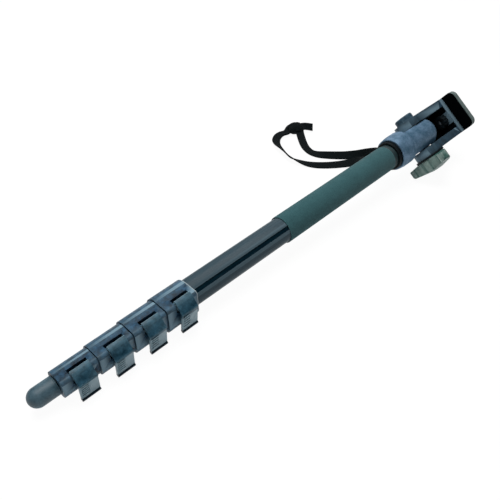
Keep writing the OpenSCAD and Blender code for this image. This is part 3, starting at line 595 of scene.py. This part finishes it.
def add_wrap(tool, turn, lean, along, up):
    """A closed loop of webbing about the knot, standing on edge."""
    stand = Matrix.Rotation(math.radians(turn), 3, "Z") @ Matrix.Rotation(math.radians(lean), 3, "X")
    wide = stand @ Vector((0, 1, 0))
    rings = []
    travelled = 0.0
    before = None
    for k in range(WRAP_STEPS):
        angle = 2 * math.pi * k / WRAP_STEPS
        spoke = stand @ Vector((along * math.cos(angle), 0, up * math.sin(angle))) * MM
        if before is not None:
            travelled += (spoke - before).length
        before = spoke
        out = spoke.normalized()
        ring = []
        for across, depth in BAND_SECTION:
            sag = 1 - WRAP_SAG * across**2
            at = KNOT_AT + spoke * sag + wide * (across * WRAP_W / 2) + out * (depth * STRAP_T / 2)
            ring.append((tool.verts.new(at), across * WRAP_W / 2, travelled))
        rings.append(ring)
    skin(tool, rings, closed=True)


def make_knot():
    """The crushed core, its wraps and the cut tail, as one piece."""
    tool = woven_mesh()
    bmesh.ops.create_icosphere(tool, subdivisions=CORE_DETAIL, radius=1.0)
    for vert in tool.verts:
        crush = noise.noise(vert.co * CRUSH_GRAIN) * KNOT_CRUSH
        vert.co = KNOT_AT + Vector(a * b for a, b in zip(vert.co, KNOT_CORE)) + vert.co * crush
    weave = tool.loops.layers.uv["weave"]
    for face in tool.faces:
        for loop in face.loops:
            loop[weave].uv = (loop.vert.co.x / MM, loop.vert.co.y / MM)
    for wrap in KNOT_WRAPS:
        add_wrap(tool, *wrap)
    sweep_band(tool, smooth_route(TAIL_ROUTE, STRAP_STEP), STRAP_W * TAIL_SHARE)
    knot = new_piece("strap_knot_wraps", tool, "webbing")
    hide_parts("strap_knot")
    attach(knot, "mast")
    return knot


strap, strap_path = make_strap()
knot = make_knot()


# Finish of the solids: a weld and a rounded edge on each, and its material


def shade_group():
    """A geometry node group that shades every face smooth."""
    group = bpy.data.node_groups.new("shade_smooth", "GeometryNodeTree")
    group.interface.new_socket("Geometry", in_out="INPUT", socket_type="NodeSocketGeometry")
    group.interface.new_socket("Geometry", in_out="OUTPUT", socket_type="NodeSocketGeometry")
    start = group.nodes.new("NodeGroupInput")
    end = group.nodes.new("NodeGroupOutput")
    shade = group.nodes.new("GeometryNodeSetShadeSmooth")
    group.links.new(start.outputs["Geometry"], shade.inputs["Geometry"])
    group.links.new(shade.outputs["Geometry"], end.inputs["Geometry"])
    return group


SMOOTH = shade_group()
EDGE_ANGLE = math.radians(28)
WELD_GAP = 0.002 * MM


def dress(name, finish, edge, segments=3):
    """Gives a solid its finish and rounds its sharp edges by edge millimetres."""
    solid = nodes[name]
    solid.data.materials.clear()
    solid.data.materials.append(FINISH[finish])
    weld = solid.modifiers.new("weld", "WELD")
    weld.merge_threshold = WELD_GAP
    bevel = solid.modifiers.new("edge", "BEVEL")
    bevel.width = edge * MM
    bevel.segments = segments
    bevel.limit_method = "ANGLE"
    bevel.angle_limit = EDGE_ANGLE
    bevel.use_clamp_overlap = True
    bevel.miter_outer = "MITER_ARC"
    bevel.harden_normals = True
    smooth = solid.modifiers.new("smooth", "NODES")
    smooth.node_group = SMOOTH


LOCKS = (1, 2, 3, 4)
SECTIONS = (1, 2, 3, 4, 5)

for i in SECTIONS:
    dress(f"tube_{i}", "tube_anodised", 0.12, 2)
for i in SECTIONS[1:]:
    dress(f"guide_{i}", "nylon", 0.15, 2)
for i in LOCKS:
    dress(f"housing_{i}", "lock_plastic", 0.8)
    dress(f"lever_{i}", "lever_plastic", 0.5)
    dress(f"hinge_pin_{i}", "steel", 0.2, 2)
    dress(f"brake_shoe_{i}", "shoe_rubber", 0.2, 2)
dress("rubber_foot", "foot_rubber", 0.5)
dress("foot_plug", "nylon", 0.2, 2)
dress("grip_sleeve", "grip_foam", 0.5)
dress("plain_band", "band_print", 0.15, 2)
dress("strap_collar", "washer_plastic", 0.3)
dress("tube_top_plug", "nylon", 0.2, 2)
dress("neck", "neck_cast", 0.5)
dress("neck_set_screws", "steel", 0.15, 2)
dress("yoke", "yoke_plastic", 0.7)
dress("friction_washers", "nylon", 0.1, 2)
dress("tilt_bolt", "steel", 0.2, 2)
dress("bolt_cap", "cap_plastic", 0.4)
dress("thrust_washer", "washer_plastic", 0.25, 2)
dress("knob", "knob_plastic", 0.9)
dress("knob_nut", "brass", 0.15, 2)
dress("camera_plate", "plate_metal", 0.4)
dress("camera_pad", "pad_rubber", 0.4)
dress("camera_screw", "steel", 0.12, 2)
dress("thumb_wheel", "washer_plastic", 0.2, 2)
dress("retaining_ring", "steel", 0.08, 2)


# Studio: a white floor that keeps a pale shadow, a lamp overhead, one behind and a low fill

FLOOR_HALF = 6.0
FLOOR_COLOUR = (0.95, 0.95, 0.95, 1)
FLOOR_GLOW = 1.06
SHADOW_SHARE = 0.1
FILL_LEVEL = 0.06
LAMP_TARGET = Vector((0, 0, 0))
# Each lamp: name, place, side and power
LAMPS = [
    ("overhead", (-0.05, 0.25, 1.2), 0.9, 13.0),
    ("back", (0.75, 0.85, 0.75), 0.9, 2.5),
]


def floor_white():
    """White to the camera, also by way of a mirror or glass, but for a matt share that keeps the shadow."""
    material = bpy.data.materials.new("floor_white")
    material.use_nodes = True
    tree = material.node_tree
    tree.nodes.remove(tree.nodes["Principled BSDF"])
    matt = tree.nodes.new("ShaderNodeBsdfDiffuse")
    matt.inputs["Color"].default_value = FLOOR_COLOUR
    white = tree.nodes.new("ShaderNodeEmission")
    white.inputs["Strength"].default_value = FLOOR_GLOW
    path = tree.nodes.new("ShaderNodeLightPath")
    seen = path.outputs["Is Camera Ray"]
    for ray in ("Is Glossy Ray", "Is Transmission Ray"):
        either = tree.nodes.new("ShaderNodeMath")
        either.operation = "MAXIMUM"
        tree.links.new(seen, either.inputs[0])
        tree.links.new(path.outputs[ray], either.inputs[1])
        seen = either.outputs[0]
    share = tree.nodes.new("ShaderNodeMath")
    share.operation = "MULTIPLY"
    share.inputs[1].default_value = 1 - SHADOW_SHARE
    mix = tree.nodes.new("ShaderNodeMixShader")
    tree.links.new(seen, share.inputs[0])
    tree.links.new(share.outputs[0], mix.inputs["Fac"])
    tree.links.new(matt.outputs[0], mix.inputs[1])
    tree.links.new(white.outputs[0], mix.inputs[2])
    tree.links.new(mix.outputs[0], tree.nodes["Material Output"].inputs["Surface"])
    return material


def make_floor():
    tool = bmesh.new()
    bmesh.ops.create_grid(tool, x_segments=1, y_segments=1, size=FLOOR_HALF)
    mesh = bpy.data.meshes.new("floor")
    tool.to_mesh(mesh)
    tool.free()
    mesh.materials.append(floor_white())
    floor = bpy.data.objects.new("floor", mesh)
    scene.collection.objects.link(floor)


def make_lamp(name, at, side, power):
    data = bpy.data.lights.new(name, "AREA")
    data.shape = "SQUARE"
    data.size = side
    data.energy = power
    lamp = bpy.data.objects.new(name, data)
    aim = (LAMP_TARGET - Vector(at)).to_track_quat("-Z", "Y").to_matrix().to_4x4()
    lamp.matrix_world = Matrix.Translation(at) @ aim
    scene.collection.objects.link(lamp)


def make_world():
    world = bpy.data.worlds.new("studio")
    scene.world = world
    world.use_nodes = True
    tree = world.node_tree
    background = tree.nodes["Background"]
    background.inputs["Color"].default_value = (1, 1, 1, 1)
    path = tree.nodes.new("ShaderNodeLightPath")
    level = tree.nodes.new("ShaderNodeMapRange")
    level.inputs["To Min"].default_value = FILL_LEVEL
    level.inputs["To Max"].default_value = 1.0
    tree.links.new(path.outputs["Is Camera Ray"], level.inputs["Value"])
    tree.links.new(level.outputs["Result"], background.inputs["Strength"])


make_floor()
for lamp in LAMPS:
    make_lamp(*lamp)
make_world()
